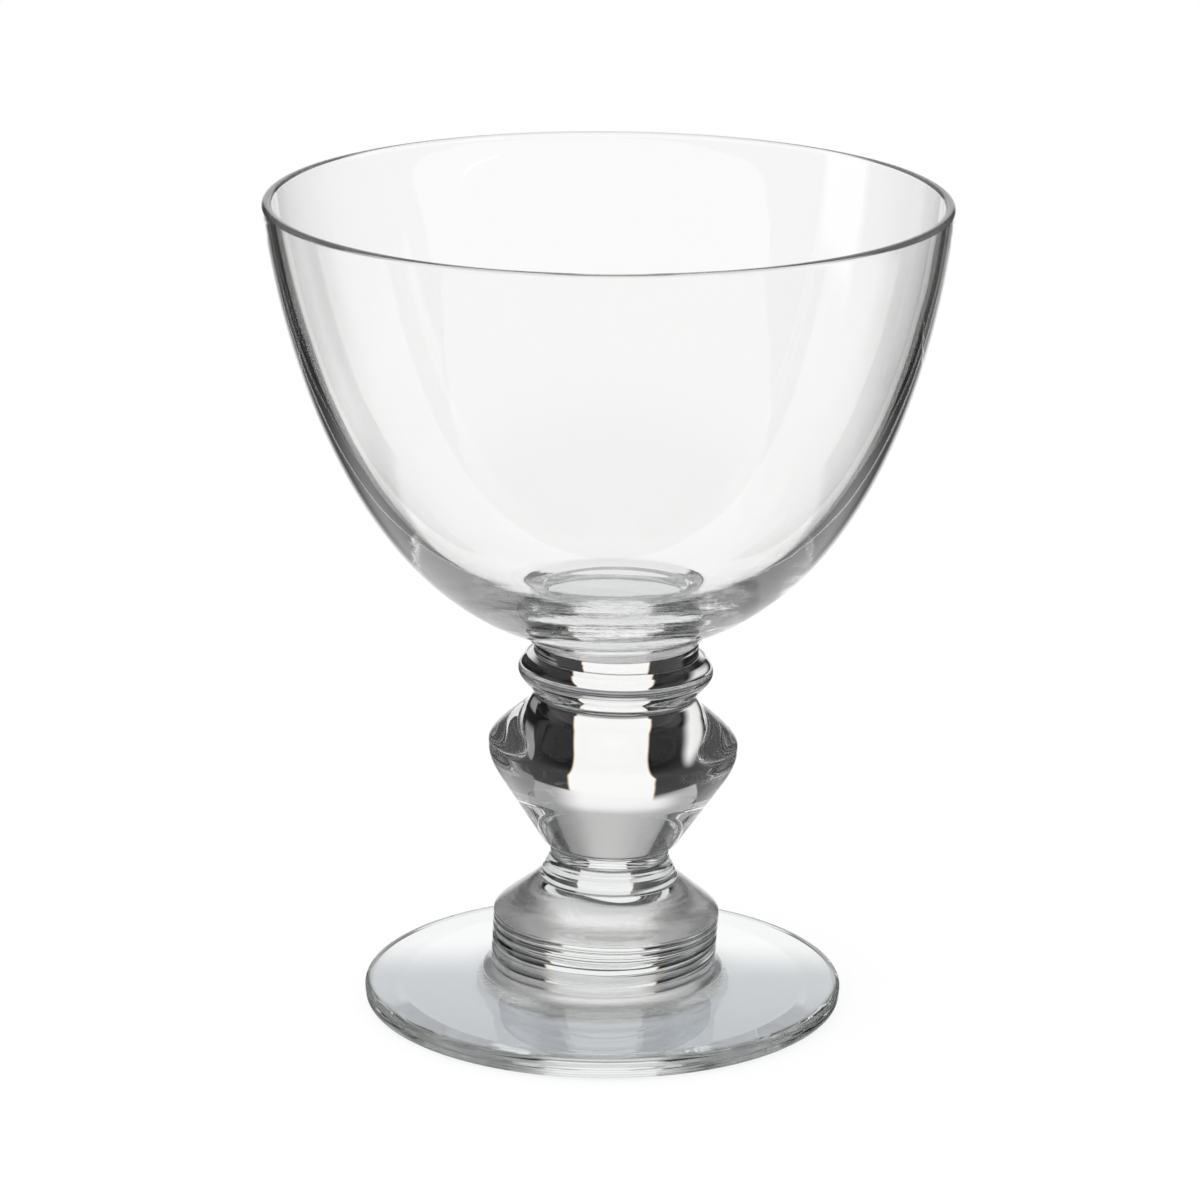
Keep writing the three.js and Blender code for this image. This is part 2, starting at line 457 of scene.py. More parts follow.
@dataclass(frozen=True)
class Lean:
    """How the glass was set by hand: its middle strays toward +X, and its stem leans a little.

    Attributes:
        drum: how far the middle has strayed at the top of the drum.
        stem: the same, at the top of the stem.
        bowl: the same, just above the bowl's seat. The rim is back in the middle.
        settle: height over which the bowl's middle settles from the stem's.
        upright: height below the bowl over which the level lines turn level again.
    """

    drum: float = 0.85
    stem: float = 1.8
    bowl: float = 1.15
    settle: float = 5.0
    upright: float = 2.0

    def shift(self, height: float) -> float:
        """How far the middle strays at a height.

        Args:
            height: millimetres above the table.

        Returns:
            Millimetres toward +X.
        """
        drum, neck, bowl = FOOT_TO_DRUM.height, DRUM_TO_NECK.height, POST_TO_BOWL.height
        if height <= drum:
            return 0.0
        if height <= neck:
            return self.drum * (height - drum) / (neck - drum)
        if height <= bowl:
            return self.drum + (self.stem - self.drum) * (height - neck) / (bowl - neck)
        line = self.bowl * (RIM - height) / (RIM - bowl)
        rest = max(0.0, 1 - (height - bowl) / self.settle)
        return line + (self.stem - self.bowl) * rest * rest

    def tilt(self, height: float) -> float:
        """Slope of a level line at a height.

        Args:
            height: millimetres above the table.

        Returns:
            The slope toward -X, as a share.
        """
        drum, neck, bowl = FOOT_TO_DRUM.height, DRUM_TO_NECK.height, POST_TO_BOWL.height
        slope = (self.stem - self.drum) / (bowl - neck)
        rise = (height - drum) / (neck - drum)
        return slope * min(1.0, max(0.0, rise), max(0.0, (bowl - height) / self.upright))


LEAN = Lean()


@dataclass(frozen=True)
class Corner:
    """A corner of an outline. Its rounding starts and ends at the given distance from it."""

    radius: float
    height: float
    round: float = 0.0


@dataclass
class HalfSection:
    """One piece's outline, from the axis round to the axis again.

    Attributes:
        step: longest stretch between two points.
        points: radius and height of each point.
        joints: True for each point on a fused joint.
    """

    step: float
    points: list[Point] = field(default_factory=list)
    joints: list[bool] = field(default_factory=list)

    def add(self, point: Point, joint: bool = False) -> None:
        """Add a point, or mark the last one again if it is the same.

        Args:
            point: its radius and height.
            joint: whether it lies on a fused joint.
        """
        if self.points and math.dist(self.points[-1], point) < SAME_POINT:
            self.joints[-1] = self.joints[-1] or joint
            return
        self.points.append(point)
        self.joints.append(joint)

    def joint(self, height: float, start: float, end: float) -> None:
        """Add the flat disc of a fused joint.

        Args:
            height: where the joint lies.
            start: radius at which the disc starts.
            end: radius at which it ends.
        """
        self.add((start, height), True)
        self.add(((start + end) / 2, height), True)
        self.add((end, height), True)

    def curve(self, *handles: Point) -> None:
        """Add a Bezier curve.

        Args:
            handles: its two ends and any number of handles between them.
        """
        length = sum(math.dist(a, b) for a, b in zip(handles, handles[1:]))
        count = max(2, math.ceil(length / self.step))
        for i in range(count + 1):
            t = i / count
            level = list(handles)
            while len(level) > 1:
                pairs = zip(level, level[1:])
                level = [(a[0] + (b[0] - a[0]) * t, a[1] + (b[1] - a[1]) * t) for a, b in pairs]
            self.add(level[0])

    def wall(self, *corners: Corner) -> None:
        """Add straight stretches with rounded corners between them.

        Args:
            corners: the corners in order, with the two ends of the stretch.
        """
        here = (corners[0].radius, corners[0].height)
        for i, corner in enumerate(corners[1:], 1):
            at = (corner.radius, corner.height)
            if corner.round == 0 or i == len(corners) - 1:
                self.curve(here, at)
                here = at
                continue
            after = (corners[i + 1].radius, corners[i + 1].height)
            into = self.toward(at, here, corner.round)
            out = self.toward(at, after, corner.round)
            self.curve(here, into)
            self.curve(into, at, out)
            here = out

    def beads(self, low: Point, high: Point, grooves: tuple[float, ...], bulge: float) -> None:
        """Add a row of soft beads with grooves between them.

        Args:
            low: where the lowest bead starts.
            high: where the highest bead ends.
            grooves: heights of the grooves, from the lowest.
            bulge: how far a bead stands out.
        """
        slope = (high[0] - low[0]) / (high[1] - low[1])
        heights = (low[1], *grooves, high[1])
        for a, b in zip(heights, heights[1:]):
            middle = (a + b) / 2
            ends = [(low[0] + slope * (z - low[1]), z) for z in (a, b)]
            self.curve(ends[0], (low[0] + slope * (middle - low[1]) + 2 * bulge, middle), ends[1])

    @staticmethod
    def toward(start: Point, end: Point, distance: float) -> Point:
        """The point at a distance from start, toward end and no nearer to it than half way."""
        share = min(0.5, distance / math.dist(start, end))
        return (start[0] + (end[0] - start[0]) * share, start[1] + (end[1] - start[1]) * share)


class Lathe:
    """Geometry Nodes that spin a half-section into a piece of hot-worked glass."""

    NAME = "turned glass"
    SETTINGS = {
        "Segments": "NodeSocketInt",
        "Ripple scale": "NodeSocketFloat",
        "Ring scale": "NodeSocketFloat",
        "Wave scale": "NodeSocketFloat",
        "Seed": "NodeSocketFloat",
        "Glass": "NodeSocketMaterial",
        "Joint": "NodeSocketMaterial",
    }
    MERGE = 1e-6
    SHARP = math.radians(50)
    RIPPLE_DETAIL = 1
    RING_DETAIL = 2
    RING_STRETCH = (0.05, 0.05, 1)

    def __init__(self) -> None:
        """Write the tree."""
        self.group = bpy.data.node_groups.new(self.NAME, "GeometryNodeTree")
        face = self.group.interface
        face.new_socket("Half section", in_out="INPUT", socket_type="NodeSocketGeometry")
        self.sockets = {
            name: face.new_socket(name, in_out="INPUT", socket_type=kind).identifier
            for name, kind in self.SETTINGS.items()
        }
        face.new_socket("Piece", in_out="OUTPUT", socket_type="NodeSocketGeometry")
        self.write(Tree(self.group))

    def write(self, tree: Tree) -> None:
        """Add the nodes: a sheet of points, its spin, its joints and its materials.

        Args:
            tree: the group's tree.
        """
        given = tree.node("NodeGroupInput")
        put = {socket.name: Value(tree, socket) for socket in given.outputs}
        section = put["Half section"]
        rows = tree.value(
            "GeometryNodeAttributeDomainSize", {"component": "MESH"}, {0: section}, "Point Count"
        )
        sheet = tree.value(
            "GeometryNodeMeshGrid", None, {"Vertices X": put["Segments"] + 1, "Vertices Y": rows}, "Mesh"
        )
        index = tree.value("GeometryNodeInputIndex")
        column = tree.math("FLOOR", index / rows)
        row = index - column * rows
        spot = self.sample(tree, section, tree.value("GeometryNodeInputPosition"), row, "FLOAT_VECTOR")
        radius, shift, height = tree.split(spot)
        turn = column * math.tau / put["Segments"]
        across = tree.math("COSINE", turn)
        along = tree.math("SINE", turn)
        smooth = tree.vector(radius * across, radius * along, height)
        flat = tree.vector(radius * across, radius * along, 0.0)
        uneven = Lumps(put["Ripple scale"], self.RIPPLE_DETAIL, put["Seed"]).at(tree, smooth)
        ringed = Lumps(put["Ring scale"], self.RING_DETAIL, put["Seed"], self.RING_STRETCH).at(tree, smooth)
        waved = Lumps(put["Wave scale"], self.RIPPLE_DETAIL, put["Seed"]).at(tree, flat)
        ripple, rings, wave, tilt = (
            self.named(tree, section, name, row) for name in ("ripple", "rings", "wave", "tilt")
        )
        worked = radius + 2 * (ripple * uneven + rings * ringed)
        x = worked * across
        level = height - tilt * x + 2 * (wave * waved)
        place = tree.vector(x + shift, worked * along, level)
        # The seam attribute carries the painted shade of the creases into the glass's colour.
        for name, kind in (("joint", "BOOLEAN"), ("painted_crease_shade", "FLOAT")):
            sheet = tree.value(
                "GeometryNodeStoreNamedAttribute",
                {"data_type": kind, "domain": "POINT"},
                {"Geometry": sheet, "Name": name, "Value": self.named(tree, section, name, row, kind)},
            )
        spun = tree.value("GeometryNodeSetPosition", None, {"Geometry": sheet, "Position": place})
        closed = tree.value("GeometryNodeMergeByDistance", None, {"Geometry": spun, "Distance": self.MERGE})
        soft = tree.value(
            "GeometryNodeSetShadeSmooth", {"domain": "FACE"}, {"Geometry": closed, "Shade Smooth": True}
        )
        angle = tree.value("GeometryNodeInputMeshEdgeAngle", None, None, "Unsigned Angle")
        sharp = tree.math("GREATER_THAN", angle, self.SHARP)
        edged = tree.value(
            "GeometryNodeSetShadeSmooth",
            {"domain": "EDGE"},
            {"Geometry": soft, "Selection": sharp, "Shade Smooth": False},
        )
        real = tree.value("GeometryNodeRealizeInstances", None, {"Geometry": edged})
        glass = tree.value("GeometryNodeSetMaterial", None, {"Geometry": real, "Material": put["Glass"]})
        fused = tree.value(
            "GeometryNodeInputNamedAttribute", {"data_type": "BOOLEAN"}, {"Name": "joint"}, "Attribute"
        )
        dressed = tree.value(
            "GeometryNodeSetMaterial",
            None,
            {"Geometry": glass, "Selection": fused, "Material": put["Joint"]},
        )
        tree.node("NodeGroupOutput", None, {"Piece": dressed})

    @staticmethod
    def sample(tree: Tree, section: Value, what: Value, row: Value, kind: str) -> Value:
        """Read something off the half-section's point for a row."""
        inputs = {"Geometry": section, "Value": what, "Index": row}
        return tree.value("GeometryNodeSampleIndex", {"data_type": kind, "domain": "POINT"}, inputs)

    def named(self, tree: Tree, section: Value, name: str, row: Value, kind: str = "FLOAT") -> Value:
        """Read a named attribute off the half-section's point for a row."""
        what = tree.value(
            "GeometryNodeInputNamedAttribute", {"data_type": kind}, {"Name": name}, "Attribute"
        )
        return self.sample(tree, section, what, row, kind)

    def spin(self, outline: bpy.types.Object, settings: dict) -> bpy.types.Mesh:
        """Run the tree on an outline.

        Args:
            outline: the object that holds the half-section.
            settings: the tree's inputs by name.

        Returns:
            A plain mesh of the spun piece.
        """
        modifier = outline.modifiers.new(self.NAME, "NODES")
        modifier.node_group = self.group
        for name, setting in settings.items():
            modifier[self.sockets[name]] = setting
        depsgraph = bpy.context.evaluated_depsgraph_get()
        made = bpy.data.meshes.new_from_object(outline.evaluated_get(depsgraph))
        outline.modifiers.remove(modifier)
        return made


@dataclass
class TurnedPiece(ABC):
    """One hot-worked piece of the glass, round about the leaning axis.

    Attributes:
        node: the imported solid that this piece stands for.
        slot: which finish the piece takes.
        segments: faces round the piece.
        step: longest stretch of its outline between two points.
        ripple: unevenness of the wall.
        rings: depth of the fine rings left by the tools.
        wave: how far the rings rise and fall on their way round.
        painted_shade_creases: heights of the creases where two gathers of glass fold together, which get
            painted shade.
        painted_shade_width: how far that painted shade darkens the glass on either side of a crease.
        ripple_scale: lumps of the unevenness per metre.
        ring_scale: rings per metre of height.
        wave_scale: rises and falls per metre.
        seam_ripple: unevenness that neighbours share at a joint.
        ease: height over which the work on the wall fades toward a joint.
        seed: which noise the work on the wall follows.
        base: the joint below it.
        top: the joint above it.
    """

    node: str
    slot: Slot = Slot.STEM
    segments: int = 288
    step: float = 0.16
    ripple: float = 0.03
    rings: float = 0.0
    wave: float = 0.0
    # Painted shade: the creases at these heights are darkened in the glass's colour.
    painted_shade_creases: tuple[float, ...] = ()
    painted_shade_width: float = 0.3
    ripple_scale: float = 70.0
    ring_scale: float = 800.0
    wave_scale: float = 45.0
    seam_ripple: float = 0.02
    ease: float = 1.5
    seed: float = 3.0
    base: Joint | None = None
    top: Joint | None = None

    @abstractmethod
    def side(self, section: HalfSection) -> None:
        """Add the piece's side.

        Args:
            section: the outline, which has the joint below the piece so far.
        """

    def half_section(self) -> HalfSection:
        """The piece's outline, from the axis at the bottom round to the axis at the top."""
        section = HalfSection(self.step)
        if self.base:
            section.joint(self.base.height, 0, self.base.radius)
        self.side(section)
        if self.top:
            section.joint(self.top.height, self.top.radius, 0)
        return section

    def working(self, height: float) -> tuple[float, float, float]:
        """How much the wall was worked at a height.

        Args:
            height: millimetres above the table.

        Returns:
            The unevenness, the depth of the rings and their waves. They fade to what the
            neighbours share at a joint.
        """
        near = min(abs(height - joint.height) for joint in (self.base, self.top) if joint)
        share = min(1.0, near / self.ease)
        share = share * share * (3 - 2 * share)
        ripple = self.seam_ripple + (self.ripple - self.seam_ripple) * share
        return ripple, self.rings * share, self.wave * share

    def crease(self, height: float) -> float:
        """How deep in a crease a height lies, from 0 to 1: the share of painted shade there."""
        away = ((height - painted_crease_shade) / self.painted_shade_width for painted_crease_shade in self.painted_shade_creases)
        return max((math.exp(-(share**2)) for share in away), default=0.0)

    def outline(self) -> bpy.types.Object:
        """Make the object that holds the half-section, with what the tree reads off its points."""
        section = self.half_section()
        mesh = bpy.data.meshes.new(self.node)
        places = [(r * MM, LEAN.shift(z) * MM, z * MM) for r, z in section.points]
        mesh.from_pydata(places, [(i, i + 1) for i in range(len(places) - 1)], [])
        worked = [self.working(z) if r > 0 else (0.0, 0.0, 0.0) for r, z in section.points]
        columns = {
            "joint": ("BOOLEAN", section.joints),
            # How much painted shade darkens the glass in a crease.
            "painted_crease_shade": ("FLOAT", [self.crease(z) for _, z in section.points]),
            "tilt": ("FLOAT", [LEAN.tilt(z) for _, z in section.points]),
            "ripple": ("FLOAT", [ripple * MM for ripple, _, _ in worked]),
            "rings": ("FLOAT", [rings * MM for _, rings, _ in worked]),
            "wave": ("FLOAT", [wave * MM for _, _, wave in worked]),
        }
        for name, (kind, numbers) in columns.items():
            mesh.attributes.new(name, kind, "POINT").data.foreach_set("value", numbers)
        return new_object(f"{self.node}_glass", mesh)

    def build(self, lathe: Lathe, glass: bpy.types.Material, joint: bpy.types.Material) -> bpy.types.Object:
        """Spin the piece, dress it and seat it in the frame.

        Args:
            lathe: the tree that spins half-sections.
            glass: the piece's finish.
            joint: the finish of its fused joints.

        Returns:
            The finished piece.
        """
        made = self.outline()
        spare = made.data
        settings = {
            "Segments": self.segments,
            "Ripple scale": self.ripple_scale,
            "Ring scale": self.ring_scale,
            "Wave scale": self.wave_scale,
            "Seed": self.seed,
            "Glass": glass,
            "Joint": joint,
        }
        made.data = lathe.spin(made, settings)
        bpy.data.meshes.remove(spare)
        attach(made, "root")
        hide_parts(self.node)
        return made


@dataclass
class Foot(TurnedPiece):
    """The round foot: a shallow cone with a fire-polished edge, hollow underneath."""

    node: str = "foot"
    top: Joint | None = FOOT_TO_DRUM
    slot: Slot = Slot.FOOT
    step: float = 0.35
    edge: float = 2.9
    edge_round: float = 1.45
    hollow: float = 1.2
    hollow_radius: float = 31.4
    fillet_radius: float = 23.5
    fillet_height: float = 4.12
    fillet_reach: float = 1.3
    fillet_rise: float = 0.2

    def side(self, section: HalfSection) -> None:
        """Add the underside, the edge and the top.

        Args:
            section: the outline so far.
        """
        radius = widest(self.node)
        section.curve((0, self.hollow), (self.hollow_radius / 2, self.hollow), (self.hollow_radius, 0))
        section.wall(
            Corner(self.hollow_radius, 0),
            Corner(radius, 0, self.edge_round),
            Corner(radius, self.edge, self.edge_round),
            Corner(self.fillet_radius, self.fillet_height),
        )
        section.curve(
            (self.fillet_radius, self.fillet_height),
            (self.top.radius + self.fillet_reach, self.fillet_height + self.fillet_rise),
            self.top.edge,
        )


@dataclass
class BaseDrum(TurnedPiece):
    """The drum on the foot: a beaded wall and a sloping shoulder."""

    node: str = "base_drum"
    base: Joint | None = FOOT_TO_DRUM
    top: Joint | None = DRUM_TO_NECK
    step: float = 0.1
    rings: float = 0.012
    wave: float = 0.35
    toe: float = 1.2
    toe_swell: float = 0.25
    bead_room: float = 0.15
    grooves: tuple[float, ...] = (7.4, 9.2, 11.2, 12.5, 13.6)
    bulge: float = 0.08
    wall_top: float = 14.4
    brow_radius: float = 17.0
    brow_height: float = 15.1
    brow_round: float = 0.8

    def working(self, height: float) -> tuple[float, float, float]:
        """The rings lie on the wall and leave the shoulder smooth.

        Args:
            height: millimetres above the table.

        Returns:
            The unevenness, the depth of the rings and their waves.
        """
        ripple, rings, wave = super().working(height)
        fade = min(1.0, max(0.0, (self.wall_top - height) / self.ease))
        return ripple, rings * fade, wave

    def side(self, section: HalfSection) -> None:
        """Add the toe, the beaded wall and the shoulder.

        Args:
            section: the outline so far.
        """
        radius = widest(self.node) - self.bead_room
        toe = (radius, self.base.height + self.toe)
        top = (radius, self.wall_top)
        section.curve(self.base.edge, (radius + self.toe_swell, self.base.height + self.toe / 3), toe)
        section.beads(toe, top, self.grooves, self.bulge)
        section.wall(
            Corner(*top),
            Corner(self.brow_radius, self.brow_height, self.brow_round),
            Corner(*self.top.edge),
        )


@dataclass
class LowerNeck(TurnedPiece):
    """The beaded neck under the knop."""

    node: str = "lower_neck"
    base: Joint | None = DRUM_TO_NECK
    top: Joint | None = NECK_TO_KNOP
    step: float = 0.06
    ease: float = 0.6
    wave: float = 0.12
    rings: float = 0.012
    # Painted shade darkens the glass in the creases at these heights.
    painted_shade_creases: tuple[float, ...] = (23.5, 20.1)
    painted_shade_width: float = 0.28
    grooves: tuple[float, ...] = (20.8, 21.6, 22.5)
    bulge: float = 0.03
    band_radius: float = 9.22
    band_base: float = 23.5

    def side(self, section: HalfSection) -> None:
        """Add the beads and the plain band.

        Args:
            section: the outline so far.
        """
        band = (self.band_radius, self.band_base)
        section.beads(self.base.edge, band, self.grooves, self.bulge)
        section.wall(Corner(*band), Corner(*self.top.edge))


@dataclass
class Knop(TurnedPiece):
    """The solid double cone in the middle of the stem."""

    node: str = "knop"
    base: Joint | None = NECK_TO_KNOP
    top: Joint | None = KNOP_TO_DISC
    waist_radius: float = 9.58
    waist_height: float = 25.45
    waist_round: float = 0.35
    heel_radius: float = 10.65
    heel_height: float = 26.1
    heel_round: float = 0.5
    belt_low: float = 39.4
    belt_high: float = 42.9
    belt_round: float = 3.0
    brow_radius: float = 13.6
    brow_height: float = 48.0
    brow_round: float = 0.7

    def side(self, section: HalfSection) -> None:
        """Add the lower cone, the belt and the upper cone.

        Args:
            section: the outline so far.
        """
        radius = widest(self.node)
        section.wall(
            Corner(*self.base.edge),
            Corner(self.waist_radius, self.waist_height, self.waist_round),
            Corner(self.heel_radius, self.heel_height, self.heel_round),
            Corner(radius, self.belt_low, self.belt_round),
            Corner(radius, self.belt_high, self.belt_round),
            Corner(self.brow_radius, self.brow_height, self.brow_round),
            Corner(*self.top.edge),
        )


@dataclass
class CollarNeck(TurnedPiece):
    """The thin disc between the knop and the ring collar."""

    node: str = "collar_neck"
    base: Joint | None = KNOP_TO_DISC
    top: Joint | None = DISC_TO_RING
    step: float = 0.06
    ease: float = 0.6
    # Painted shade darkens the glass in the crease at this height.
    painted_shade_creases: tuple[float, ...] = (49.9,)
    painted_shade_width: float = 0.45
    waist: float = 0.15
    waist_round: float = 0.3

    def side(self, section: HalfSection) -> None:
        """Add the waist.

        Args:
            section: the outline so far.
        """
        middle = (self.base.height + self.top.height) / 2
        section.wall(
            Corner(*self.base.edge),
            Corner(self.base.radius - self.waist, middle, self.waist_round),
            Corner(*self.top.edge),
        )


@dataclass
class RingCollar(TurnedPiece):
    """The rounded ring under the bowl."""

    node: str = "ring_collar"
    base: Joint | None = DISC_TO_RING
    top: Joint | None = RING_TO_POST
    step: float = 0.08
    # Painted shade darkens the glass in the crease at this height.
    painted_shade_creases: tuple[float, ...] = (53.9,)
    painted_shade_width: float = 0.16
    cheek_radius: float = 14.3
    cheek: float = 1.35
    shoulder: float = 2.2
    edge: float = 3.0
    crown: float = 4.3
    brow_radius: float = 13.9
    brow_drop: float = 0.55
    crease_reach: float = 0.3
    crease_drop: float = 0.2

    def side(self, section: HalfSection) -> None:
        """Add the bevel, the rounded edge and the brow.

        Args:
            section: the outline so far.
        """
        radius = widest(self.node)
        low = self.base.height
        edge = (radius, low + self.edge)
        brow = (self.brow_radius, self.top.height - self.brow_drop)
        crease = (self.top.radius + self.crease_reach, self.top.height - self.crease_drop)
        section.curve(
            self.base.edge, (self.cheek_radius, low + self.cheek), (radius, low + self.shoulder), edge
        )
        section.curve(edge, (radius, low + self.crown), brow)
        section.curve(brow, crease, self.top.edge)


@dataclass
class BowlPost(TurnedPiece):
    """The short ringed post that carries the bowl."""

    node: str = "bowl_post"
    base: Joint | None = RING_TO_POST
    top: Joint | None = POST_TO_BOWL
    step: float = 0.06
    ease: float = 0.6
    wave: float = 0.1
    # Painted shade darkens the glass in the creases at these heights.
    painted_shade_creases: tuple[float, ...] = (56.75, 58.55)
    painted_shade_width: float = 0.15
    grooves: tuple[float, ...] = (57.2, 57.9)
    bulge: float = 0.015

    def side(self, section: HalfSection) -> None:
        """Add the beads."""
        section.beads(self.base.edge, self.top.edge, self.grooves, self.bulge)


@dataclass
class Bowl(TurnedPiece):
    """The blown bowl: thick at its floor, thin at its fire-polished rim."""

    node: str = "bowl"
    base: Joint | None = POST_TO_BOWL
    slot: Slot = Slot.BOWL
    segments: int = 256
    step: float = 0.62
    fine_step: float = 0.15
    rings: float = 0.1
    ring_scale: float = 450.0
    seat_flare: float = 0.9
    seat_rise: float = 0.8
    seat_round: float = 0.5
    heel_radius: float = 15.6
    heel_height: float = 2.4
    heel_round: float = 0.8
    heel_reach: float = 2.0
    heel_rise: float = 0.9
    cheek_radius: float = 48.4
    cheek_height: float = 17.2
    cheek_wall: float = 2.7
    cheek_drop: float = 5.2
    rim_wall: float = 1.5
    lip_parts: int = 16
    floor: float = 6.6
    floor_radius: float = 9.0
    floor_round: float = 2.4
    drawn_low: float = 62.0
    drawn_high: float = 80.0

    def working(self, height: float) -> tuple[float, float, float]:
        """The drawn rings fade out up the side.

        Args:
            height: millimetres above the table.

        Returns:
            The unevenness, the depth of the rings and their waves.
        """
        ripple, rings, wave = super().working(height)
        fade = min(1.0, max(0.0, (self.drawn_high - height) / (self.drawn_high - self.drawn_low)))
        return ripple, rings * fade, wave

    def side(self, section: HalfSection) -> None:
        """Add the heel, the outside, the rim, the inside and the floor.

        Args:
            section: the outline so far.
        """
        lip = self.rim_wall / 2
        outside = widest(self.node)
        inside = outside - self.rim_wall
        brim = RIM - lip
        seat = self.base.height
        heel = (self.heel_radius, seat + self.heel_height)
        cheek = (self.cheek_radius, seat + self.cheek_height)
        inner_cheek = (self.cheek_radius - self.cheek_wall, cheek[1] - self.cheek_drop)
        floor = (self.floor_radius, seat + self.floor)
        section.step = self.fine_step
        side = (heel[0] + self.heel_reach, heel[1] + self.heel_rise)
        section.wall(
            Corner(*self.base.edge),
            Corner(self.base.radius + self.seat_flare, seat + self.seat_rise, self.seat_round),
            Corner(*heel, self.heel_round),
            Corner(*side),
        )
        section.step = self.step
        section.curve(side, cheek, (outside, brim), (outside, brim))
        for i in range(1, self.lip_parts):
            turn = math.pi * i / self.lip_parts
            section.add((outside - lip + lip * math.cos(turn), brim + lip * math.sin(turn)))
        into = section.toward(floor, inner_cheek, self.floor_round)
        out = (self.floor_radius - self.floor_round, floor[1])
        section.curve((inside, brim), (inside, brim), inner_cheek, into)
        section.curve(into, floor, out)
        section.curve(out, (0, floor[1]))


@dataclass(frozen=True)
class Card:
    """One dark or pale card in front of the white wall, as the glass shows it. Angles are in degrees.

    Attributes:
        start: bearing of its first edge, from +Y behind the glass toward +X.
        end: bearing of its other edge.
        level: its brightness.
        low: where it ends below the horizon, in the polished table.
        high: where it ends above the horizon.
        warm: share of warm light along its edges, where the glass splits the light.
        edge: half the width of its soft edges beside it.
        soft: the same, above and below it.
    """

    start: float
    end: float
    level: float
    low: float
    high: float
    warm: float = 0.0
    edge: float = 0.6
    soft: float = 1.5

    def masks(self, tree: Tree, x: Value, y: Value, rise: Value) -> tuple[Value, Value]:
        """Where the card and its edges show.

        Args:
            tree: the world's tree.
            x: the level direction's part along +X.
            y: the level direction's part along +Y.
            rise: angle above the horizon.

        Returns:
            1 on the card and 0 off it, and the share of warm light.
        """
        middle = math.radians(self.start + self.end) / 2
        half = abs(self.end - self.start) / 2
        away = tree.math("ARCCOSINE", x * math.sin(middle) + y * math.cos(middle))
        beside = away.ramp(math.radians(half - self.edge), math.radians(half + self.edge))
        above = rise.ramp(math.radians(self.high - self.soft), math.radians(self.high + self.soft))
        below = rise.ramp(math.radians(self.low - self.soft), math.radians(self.low + self.soft))
        upright = below * (1 - above)
        return (1 - beside) * upright, beside * (1 - beside) * upright * 4 * self.warm


